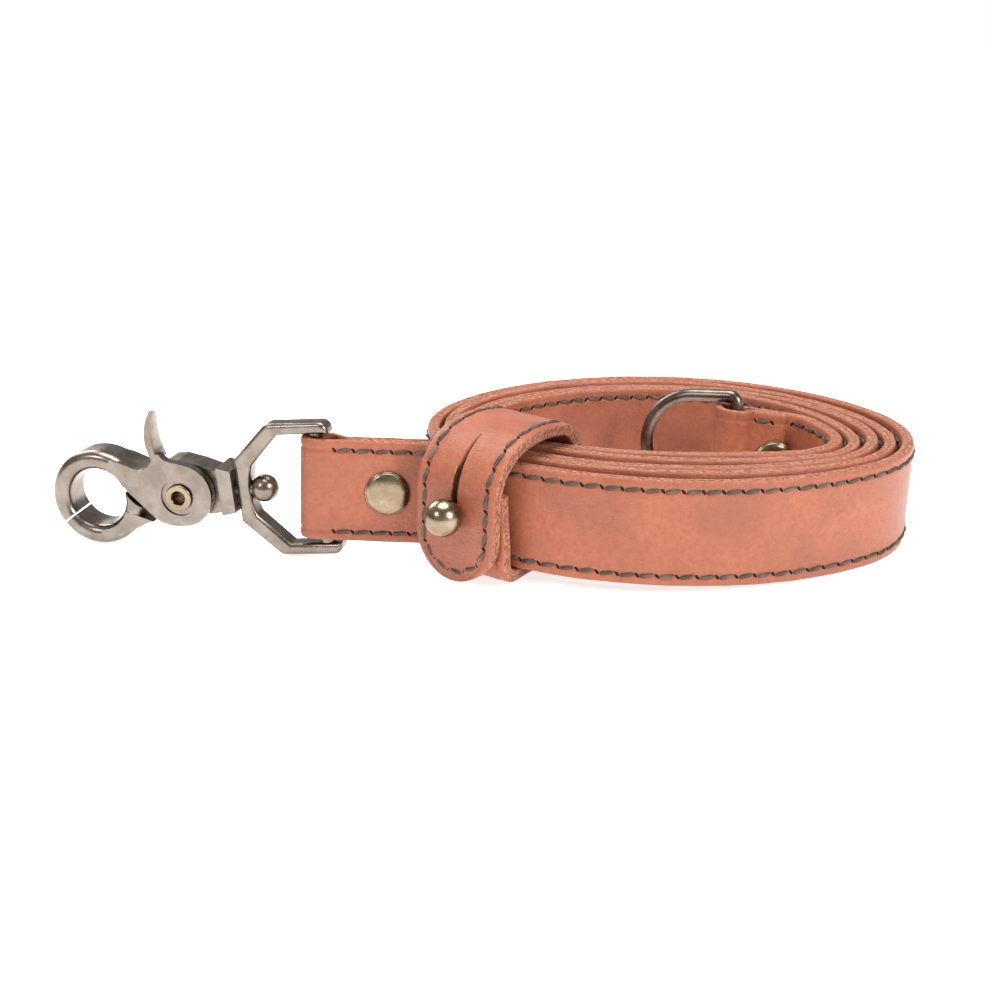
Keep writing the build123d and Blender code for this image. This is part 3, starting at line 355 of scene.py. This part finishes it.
CREST = keeper_length - flap_length - math.pi / 2 * TOP_CORNER - 5
HALF = KEEPER_WIDTH / 2
tip_centre = keeper_length - HALF


def on_keeper(distance, aside, lift):
    """A place on the keeper from a distance along it, one to the side and one off its middle.
    The layer under the flap bellies out and slips sideways, and the top arches, in bell curves."""
    points, headings, distances = keeper_path
    x, y, heading = (np.interp(distance, distances, k) for k in (*points.T, headings))
    x, y = x - np.sin(heading) * lift, y + np.cos(heading) * lift
    under = np.exp(-(((distance - UNDER_FLAP) / BELLY_REACH) ** 2))
    crest = np.exp(-(((distance - CREST) / ARCH_REACH) ** 2))
    x, y = x + BELLY * under, y + ARCH * crest
    slip = FLAP_SLIP * np.clip((distance - CREST) / 12 + 0.5, 0, 1)
    aside = aside - BELLY_ASIDE * under - ARCH_ASIDE * crest - slip
    plan = keeper_uv + x[..., None] * outward - aside[..., None] * along
    return room(plan[..., 0], plan[..., 1], y)


def keeper_leather(name, grain_at, inward, slit):
    """A ply's profile carried along the keeper. Towards the tip each row shrinks to the width of
    a circle, and where the slit runs the middle of the profile drops almost through the ply.
    There the slit is also marked to be painted near black, a painted shade inside the cut."""
    depths, places, edges = ply_profile(KEEPER_WIDTH, KEEPER_PLY, INSET, slit=True)
    round_tip = tip_centre + HALF * np.sin(np.radians(np.linspace(0, 89, 40)))[1:]
    stations = np.concatenate([np.arange(0, tip_centre, 0.6), [tip_centre], round_tip])
    shrink = np.sqrt(np.clip(1 - ((stations - tip_centre).clip(0) / HALF) ** 2, 0, 1))
    aside = (places - HALF)[None] * shrink[:, None]
    low, high = slit
    part = np.clip((stations - low) / max(high - low, 1), 0, 1)[:, None]
    near_slit = (np.abs(places - HALF) < 0.35)[None]
    rim = (np.abs(places - HALF) < 0.5)[None]
    inside = ((stations > low) & (stations < high))[:, None]
    on_grain = (edges == 0)[None]
    on_tip = (stations > tip_centre)[:, None]
    grooves = np.where(on_grain & on_tip, depths[None] * shrink[:, None], depths[None])
    depth = np.where(inside & near_slit & on_grain, 0.97 * KEEPER_PLY, grooves)
    opened = 0.12 + 0.75 * part**0.7 + np.where(near_slit, 0, 0.08)
    aside = np.where(inside & rim & on_grain, np.sign(aside) * opened, aside)
    # painted shade: the slit's floor is marked here to be coloured near black, standing for the dark
    # inside the cut
    dark = np.broadcast_to(inside & near_slit & on_grain, depth.shape)
    distance = np.broadcast_to(stations[:, None], depth.shape)
    flat = np.stack([distance * MM, aside * MM], -1)
    marks = {"edge": np.broadcast_to(edges, depth.shape), "slit": dark.astype(float)}
    return skin(name, on_keeper(distance, aside, grain_at + inward * depth), flat, marks)


stud_distance = keeper_length - (STUD_HEIGHT - flap_tip)
slit_run = (keeper_length - flap_length - 11.0, stud_distance)
keeper_face = keeper_leather("keeper_face_leather", KEEPER_PLY, -1, slit_run)
keeper_lining = keeper_leather("keeper_lining_leather", -KEEPER_PLY, 1, (0, 0))

# %% [markdown]
# ## The stitches
# A seam could be one raised line with a repeating bump, which looks printed when seen closely.
# Here each stitch is its own thread, which rises out of one needle hole and dives into the next,
# lying a little aslant as hand stitches do. The needle holes are small ovals painted near black,
# a painted shade standing for the dark inside each hole.

# %% Thread, and painted shade for the needle holes, along any row
THREAD = 0.4
rng = np.random.default_rng(7)


def sew(name, rows):
    """Threads and painted hole shade for rows given as (place function, first distance, last distance).
    A thread's height is an arch of its length, and its ring lies across the row. Each needle hole is
    a small oval, painted near black as the shade inside the hole."""
    t, ring = np.linspace(0, 1, 8)[:, None], np.linspace(0, math.tau, 9)[:-1][None]
    girth = THREAD * np.sqrt(1 - (2 * t - 1) ** 6).clip(0.25)
    arch = -0.42 + 0.4 * np.sin(math.pi * t) ** 0.6
    across = np.linspace(-1, 1, 7)[:, None]
    oval = np.sqrt(1 - across**2).clip(0.08)
    threads, hole_shades = [], []
    for place, first, last in rows:
        starts = np.arange(math.ceil(first / PITCH), math.floor(last / PITCH) + 1) * PITCH
        starts = starts[:, None, None] + 0 * ring
        begin, end = starts[:-1], starts[1:]
        uneven = rng.normal(0, 0.05, begin.shape[:1] + (1, 1))
        travel = begin + 0.32 + (end - begin - 0.64) * t
        aslant = 0.6 * (t - 0.5) + uneven
        lift = arch + uneven * 0.5 + girth * np.sin(ring)
        threads.append(place(travel, aslant + girth * np.cos(ring), lift))
        # painted shade: each needle hole is a small oval that the hole material paints near black
        slot = 0.36 * oval
        lean = starts - 0.42 * across + slot * np.cos(ring)
        hole_shades.append(place(lean, 0.7 * across + 0 * lean, -0.3 + slot * np.sin(ring)))
    sewn = skin(name + "_thread", np.concatenate(threads))
    return sewn, skin(name + "_holes", np.concatenate(hole_shades))


def strap_row(row, side):
    """Places along a stitch row on the face side (-1) or the lining side (1) of the strap."""
    points, headings, distances = face_path

    def place(distance, aside, lift):
        station = distance + hook_fold
        x, y, heading = (np.interp(station, distances, k) for k in (*points.T, headings))
        plan = np.stack([x, y], -1) + left_of(heading) * (side * (PLY + lift))[..., None]
        return room(plan[..., 0], plan[..., 1], row + aside + raised(plan, heading, math.tau))

    return place


run_end = strap_length - hook_fold - ring_fold
lining_first = lining_from - HOOK_POCKET + HOOK_TAIL + 1
seams = {}
for name, row in (("strap_upper", WIDTH - INSET), ("strap_lower", INSET)):
    face_side, lining_side = strap_row(row, -1), strap_row(row, 1)
    runs = [
        (face_side, 1.5 - hook_fold, HOOK_TAIL - hook_fold),
        (face_side, 1, run_end - 1),
        (face_side, run_end + ring_fold - RING_TAIL - 3, run_end + ring_fold - 0.5),
        (lining_side, lining_first, run_end - RING_TAIL - RING_SLOT - fold_out - 1),
    ]
    seams[name] = sew(name, runs)

# %% The keeper's seam, round its tip
row_aside = HALF - INSET
SEAM_REACH = 60
seam_from = keeper_length - SEAM_REACH
straight = tip_centre - seam_from


def keeper_row(distance, aside, lift):
    """Along one side, round the tip and back: past the tip's centre the row is a half circle."""
    bend = math.pi * row_aside
    on_bend = np.clip((distance - straight) / bend, 0, 1) * math.pi
    back = np.maximum(distance - straight - bend, 0)
    reach = row_aside + aside
    station = seam_from + np.minimum(distance, straight) - back + reach * np.sin(on_bend)
    return on_keeper(station, reach * np.cos(on_bend), KEEPER_PLY + lift)


seams["keeper"] = sew("keeper", [(keeper_row, 0, 2 * straight + math.pi * row_aside)])

# %% [markdown]
# ## Turned metal
# Caps and the stud are turned shapes: a profile spun round an axis. A UV sphere could stand for
# the ball, but a lathe profile also gives the rolled rim where a cap bites into the leather.


# %% A lathe, the caps and the stud
LATHE_STEPS = 64


def lathe(name, profile, origin, side, up):
    """A profile of radii and heights spun round the up direction: each radius times the cosine
    and sine of the turn, along the two directions across the axis."""
    radius, height = np.asarray(profile, float).T
    angle = np.linspace(0, math.tau, LATHE_STEPS + 1)[:-1][None]
    round_way = np.cos(angle)[..., None] * side + np.sin(angle)[..., None] * np.cross(up, side)
    ring = round_way * radius[:, None, None]
    return skin(name, origin + (ring + height[:, None, None] * up) * MM)


def dome(radius, rise, rim):
    """A shallow dome with a rolled rim: an ellipse quarter over a small half round."""
    lip = 0.25
    turned = np.radians(np.linspace(4, 90, 14))
    top = np.stack([(radius - lip) * np.sin(turned), rim + (rise - rim) * np.cos(turned)], 1)
    rolled = np.radians(np.linspace(60, -90, 7))
    roll = np.stack([radius - lip + lip * np.cos(rolled), rim / 2 + rim / 2 * np.sin(rolled)], 1)
    return np.concatenate([top, roll, [[radius * 0.6, -0.1]]])


HOOK_RIVET, RING_RIVET = 13.8, 9.6
CAP = dome(radius=4.3, rise=1.3, rim=0.45)
hook_cap_at = room(HOOK_POCKET + HOOK_RIVET, HOOK_V - PLY, WIDTH / 2)
ring_rivet_u = RING_POCKET + RING_RIVET
ring_climb = CLIMB * (CLIMB_FROM - ring_rivet_u)
ring_cap_at = room(ring_rivet_u, END_V - 2 * PLY - TAIL_GAP, WIDTH / 2 + ring_climb)
hook_cap = lathe("hook_cap", CAP, hook_cap_at, u_way, -v_way)
ring_cap = lathe("ring_cap", CAP, ring_cap_at, u_way, -v_way)
keeper_out = (room(*outward, 0) - room(0, 0, 0)) / MM
stud_uv = keeper_uv + (front_layer + KEEPER_PLY) * outward + FLAP_SLIP * along
stud_at = room(*stud_uv, STUD_HEIGHT)
BALL, NECK, FLANGE, FLANGE_TOP = 3.5, 2.0, 3.7, 0.95
turned = np.radians(np.linspace(-55, 86, 22))
neck_top = FLAP_GAP + 2 * KEEPER_PLY + 0.3
ball_at = neck_top + math.sqrt(BALL**2 - NECK**2)
flange = [[FLANGE, 0.05], [FLANGE, FLANGE_TOP - 0.15], [FLANGE - 0.15, FLANGE_TOP]]
neck = [[NECK + 0.1, FLANGE_TOP], [NECK, FLANGE_TOP + 0.25], [NECK, neck_top - 0.2]]
ball = np.stack([BALL * np.cos(turned), ball_at + BALL * np.sin(turned)], 1)
stud = lathe("keeper_ball_stud", np.concatenate([flange, neck, ball]), stud_at, upright, keeper_out)

# %% [markdown]
# ## Finishes
# Every finish is worked out in the shader from places on the piece, so it has no pictures and
# holds at any distance. One small class stands for a value in the node tree and lets sums be
# written as ordinary arithmetic.


# %% A socket that can be added, multiplied and mixed
class Value:
    """A wrapped output socket; arithmetic on it adds a Math node."""

    def __init__(self, tree, socket):
        self.tree, self.socket = tree, socket

    def node(self, kind, settings=None, out=0, **inputs):
        """Any node: its settings first, then its inputs, by name or as _0, _1 and so on."""
        made = self.tree.nodes.new("ShaderNode" + kind)
        for key, value in (settings or {}).items():
            setattr(made, key, value)
        for key, value in inputs.items():
            place = made.inputs[int(key[1:]) if key[0] == "_" else key.replace("_", " ")]
            if isinstance(value, Value):
                self.tree.links.new(value.socket, place)
            else:
                place.default_value = value
        return Value(self.tree, made.outputs[out])

    def maths(self, operation, *values):
        numbered = {"_" + str(k): value for k, value in enumerate(values)}
        return self.node("Math", {"operation": operation}, **numbered)

    def __add__(self, other):
        return self.maths("ADD", self, other)

    def __sub__(self, other):
        return self.maths("SUBTRACT", self, other)

    def __rsub__(self, other):
        return self.maths("SUBTRACT", other, self)

    def __mul__(self, other):
        return self.maths("MULTIPLY", self, other)

    __radd__, __rmul__ = __add__, __mul__

    def between(self, low, high):
        """0 below low, 1 above high and a smooth rise between them."""
        ramp = {"interpolation_type": "SMOOTHSTEP"}
        return self.node("MapRange", ramp, Value=self, From_Min=low, From_Max=high)

    def blend(self, first, second):
        """A colour mixed from two, by this value."""
        return self.node("Mix", {"data_type": "RGBA"}, out=2, _0=self, _6=first, _7=second)


# %% Starting a material
def finish(name, metallic=0.0, coat=0.0, coat_roughness=0.3, specular=0.5):
    """A new material, its shader node and a value that holds object coordinates."""
    made = bpy.data.materials.new(name)
    made.use_nodes = True
    shader = made.node_tree.nodes["Principled BSDF"]
    shader.inputs["Metallic"].default_value = metallic
    shader.inputs["Coat Weight"].default_value = coat
    shader.inputs["Coat Roughness"].default_value = coat_roughness
    shader.inputs["Specular IOR Level"].default_value = specular
    places = Value(made.node_tree, None).node("TexCoord", out=3)
    return made, shader, places


def feed(shader, **inputs):
    for key, value in inputs.items():
        place = shader.inputs[key.replace("_", " ")]
        value.tree.links.new(value.socket, place)


def grey_noise(places, scale, detail=3.0, roughness=0.55):
    return places.node("TexNoise", Vector=places, Scale=scale, Detail=detail, Roughness=roughness)


def bump(height, strength, distance):
    return height.node("Bump", Strength=strength, Distance=distance, Height=height)


# %% [markdown]
# ## Leather
# Smooth harness leather is nearly even in colour, with cloudy patches where the dye took more,
# fine pores, and a fibrous cut edge that is light and dark by turns. The pores are small cells
# with low walls. Two marks on each ply say where its cut edge and its slit are; the slit is
# painted near black, a painted shade standing for the dark inside the cut.

# %% Leather
leather, shader, places = finish("tan_leather", coat=0.12, coat_roughness=0.35, specular=0.45)
clouds = grey_noise(places, 70, 4, 0.6).between(0.3, 0.7)
specks = grey_noise(places, 900, 2, 0.6).between(0.35, 0.75)
fibre = grey_noise(places, 1500, 4, 0.75).between(0.35, 0.66)
pores = places.node("TexVoronoi", {"feature": "DISTANCE_TO_EDGE"}, Vector=places, Scale=1300)
cut = places.node("Attribute", {"attribute_name": "edge"}, out=2)
slit = places.node("Attribute", {"attribute_name": "slit"}, out=2)
grain = clouds.blend((0.30, 0.082, 0.037, 1), (0.40, 0.118, 0.055, 1))
grain = (specks * 0.4).blend(grain, (0.23, 0.058, 0.027, 1))
raw = fibre.blend((0.17, 0.048, 0.026, 1), (0.52, 0.22, 0.13, 1))
# painted shade: where the slit mark is set, the colour turns near black for the dark inside the cut
colour = slit.blend(cut.blend(grain, raw), (0.03, 0.01, 0.006, 1))
rough = 0.42 + 0.14 * clouds + 0.35 * cut
height = (1 - cut) * pores.between(0.0, 0.16) * 0.6 + specks * 0.3 + cut * fibre * 2.2
feed(shader, Base_Color=colour, Roughness=rough, Normal=bump(height, 0.5, 0.00016))

# %% Thread, and painted shade for the needle holes
thread, shader, places = finish("waxed_thread", specular=0.4)
diagonal = {"bands_direction": "DIAGONAL"}
strands = places.node("TexWave", diagonal, Vector=places, Scale=420, Distortion=1.5)
worn = grey_noise(places, 300).between(0.4, 0.75)
feed(
    shader,
    Base_Color=worn.blend((0.065, 0.04, 0.032, 1), (0.16, 0.105, 0.082, 1)),
    Roughness=0.55 + 0.2 * worn,
    Normal=bump(strands, 0.4, 0.0001),
)
# painted shade: the needle holes are coloured near black to stand for the dark inside them
hole_shade, shader, places = finish("needle_hole_shade", specular=0.1)
shadow = grey_noise(places, 500).blend((0.008, 0.004, 0.003, 1), (0.025, 0.011, 0.008, 1))
feed(shader, Base_Color=shadow)

# %% [markdown]
# ## Aged metals
# Plated castings age in two ways: they cloud over, and fine grit scatters the light. Both are
# noises, a broad one for colour and roughness and a fine one that also roughens the surface.


# %% Aged nickel, brass and spring steel
def aged(name, dark, bright, low, high):
    """Metal that clouds from a dark to a bright colour and from a low to a high roughness."""
    made, shader, places = finish(name, metallic=1.0)
    cloud = grey_noise(places, 260, 4, 0.65).between(0.35, 0.68)
    grit = grey_noise(places, 2340, 2, 0.6)
    feed(
        shader,
        Base_Color=cloud.blend((*dark, 1), (*bright, 1)),
        Roughness=low + (high - low) * cloud + 0.1 * grit,
        Normal=bump(grit + cloud * 0.6, 0.12, 0.00008),
    )
    return made


nickel = aged("antique_metal", (0.19, 0.155, 0.13), (0.27, 0.228, 0.195), 0.2, 0.28)
ring_metal = aged("antique_ring_metal", (0.13, 0.10, 0.08), (0.23, 0.19, 0.16), 0.22, 0.32)
brass = aged("antique_brass", (0.23, 0.17, 0.11), (0.35, 0.27, 0.185), 0.17, 0.26)
steel = aged("spring_steel", (0.35, 0.35, 0.36), (0.5, 0.5, 0.52), 0.2, 0.3)

# %% [markdown]
# ## Dressing the pieces
# Each made piece takes the place of a measured one and rides on the same moving body. The cast and
# turned metal keeps its measured shape, with only its sharp edges worn round by a small bevel.

# %% Dress every piece and say what it stands for
made_pieces = [
    (face_ply, leather, "strap", "leather", ["strap_face_ply"]),
    (lining_ply, leather, "strap", "leather", ["strap_lining_ply"]),
    (seams["strap_upper"][0], thread, "strap", "thread", ["strap_upper_stitching"]),
    (seams["strap_lower"][0], thread, "strap", "thread", ["strap_lower_stitching"]),
    (seams["strap_upper"][1], hole_shade, "strap", "thread", []),
    (seams["strap_lower"][1], hole_shade, "strap", "thread", []),
    (keeper_face, leather, "keeper", "leather", ["keeper_face_ply"]),
    (keeper_lining, leather, "keeper", "leather", ["keeper_lining_ply"]),
    (seams["keeper"][0], thread, "keeper", "thread", ["keeper_stitching"]),
    (seams["keeper"][1], hole_shade, "keeper", "thread", []),
    (hook_cap, brass, "strap", "antique_brass", ["hook_rivet_cap"]),
    (ring_cap, brass, "strap", "antique_brass", ["ring_rivet_cap"]),
    (stud, brass, "keeper", "antique_brass", ["keeper_stud"]),
]
for piece, material, body, slot, stands_for in made_pieces:
    piece.data.materials.append(material)
    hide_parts(*stands_for)
    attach(piece, body)

kept = {
    "swivel_loop": (nickel, "antique_metal"),
    "swivel_post": (nickel, "antique_metal"),
    "snap_body": (nickel, "antique_metal"),
    "trigger": (nickel, "antique_metal"),
    "trigger_pivot": (brass, "antique_brass"),
    "trigger_spring": (steel, "spring_steel"),
    "d_ring": (ring_metal, "antique_metal"),
    "hook_rivet_post": (nickel, "antique_metal"),
    "ring_rivet_post": (nickel, "antique_metal"),
    "keeper_stud_screw": (nickel, "antique_metal"),
}
WELD, WORN, SHARP = 1e-6, 0.00045, math.radians(38)
for name, (material, slot) in kept.items():
    node = nodes[name]
    node.data.materials.clear()
    node.data.materials.append(material)
    weld = node.modifiers.new("weld", "WELD")
    weld.merge_threshold = WELD
    bevel = node.modifiers.new("worn_edges", "BEVEL")
    bevel.limit_method, bevel.angle_limit = "ANGLE", SHARP
    bevel.width, bevel.segments, bevel.harden_normals = WORN, 3, True
print(len(made_pieces), "made pieces and", len(kept), "measured ones")

# %% [markdown]

# %% [markdown]
# ## Floor, light and camera
# A pale sweep and large soft lights give leather a broad sheen and metal long smooth reflections.
# One small hard light would put sparkles on every stitch instead.

# %% Floor and lights
FLOOR = 40
floor_mesh = bpy.data.meshes.new("floor")
corners = [(-FLOOR, -FLOOR, 0), (FLOOR, -FLOOR, 0), (FLOOR, FLOOR, 0), (-FLOOR, FLOOR, 0)]
floor_mesh.from_pydata(corners, [], [(0, 1, 2, 3)])
floor = bpy.data.objects.new("floor", floor_mesh)
bpy.context.scene.collection.objects.link(floor)
pale, shader, places = finish("pale_floor", specular=0.1)
shader.inputs["Base Color"].default_value = (0.86, 0.86, 0.86, 1)
shader.inputs["Roughness"].default_value = 0.9
shader.inputs["Emission Color"].default_value = (1, 1, 1, 1)
shader.inputs["Emission Strength"].default_value = 0.72
floor_mesh.materials.append(pale)

world = bpy.data.worlds.new("studio")
bpy.context.scene.world = world
world.use_nodes = True
world.node_tree.nodes["Background"].inputs["Color"].default_value = (1, 1, 1, 1)
world.node_tree.nodes["Background"].inputs["Strength"].default_value = 0.33


def soft_light(name, place, aim, size, power):
    """A round lamp of a size, turned from its place to its aim."""
    lamp = bpy.data.lights.new(name, "AREA")
    lamp.shape, lamp.size, lamp.energy = "DISK", size, power
    light = bpy.data.objects.new(name, lamp)
    light.location = place
    way = np.array(aim) - np.array(place)
    light.rotation_euler = Vector(way).to_track_quat("-Z", "Y").to_euler()
    bpy.context.scene.collection.objects.link(light)


soft_light("overhead", (0.0, 0.08, 0.7), (0, 0, 0), 0.55, 6.0)
soft_light("front_right", (0.5, -0.45, 0.38), (0.03, 0, 0.01), 0.3, 4.0)
soft_light("front_left", (-0.5, -0.5, 0.5), (-0.04, 0, 0.01), 0.25, 1.6)
soft_light("back_left", (-0.4, 0.5, 0.4), (0, 0, 0.01), 0.4, 2.5)

# %% Camera
camera = bpy.data.objects.new("camera", bpy.data.cameras.new("camera"))
camera.location = (0.00187, -0.31208, 0.1142)
look = Vector((0.00187, -0.00948, 0.01)) - camera.location
camera.rotation_euler = look.to_track_quat("-Z", "Y").to_euler()
camera.data.lens, camera.data.sensor_width = 58.98, 36.0
camera.data.clip_start, camera.data.clip_end = 0.01, 50
bpy.context.scene.collection.objects.link(camera)
bpy.context.scene.camera = camera
bpy.context.scene.view_settings.view_transform = "Standard"
